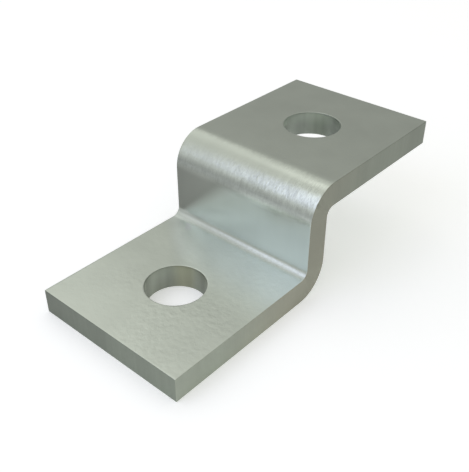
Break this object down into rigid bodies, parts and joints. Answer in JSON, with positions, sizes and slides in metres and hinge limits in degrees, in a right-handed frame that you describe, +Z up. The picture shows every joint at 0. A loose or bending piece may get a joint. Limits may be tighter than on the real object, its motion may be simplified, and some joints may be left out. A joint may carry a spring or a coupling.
{
  "type": "z bracket",
  "caption": "Z-shaped bracket folded from thick flat steel bar, with a round bolt hole through each leg and an upright web between them that steps up over a low strut channel.",
  "frame": {"origin": "on the lower bolt hole's axis, in the plane of the lower leg's underside", "axes": "+X along the bracket from the lower leg to the upper leg, +Y across its width, +Z up along both bolt holes"},
  "size_m": [0.088, 0.04, 0.027],
  "materials": {
    "zinc_coated_steel": "satin"
  },
  "bodies": {
    "root": {"z_bracket": "zinc_coated_steel"}
  },
  "joints": []
}
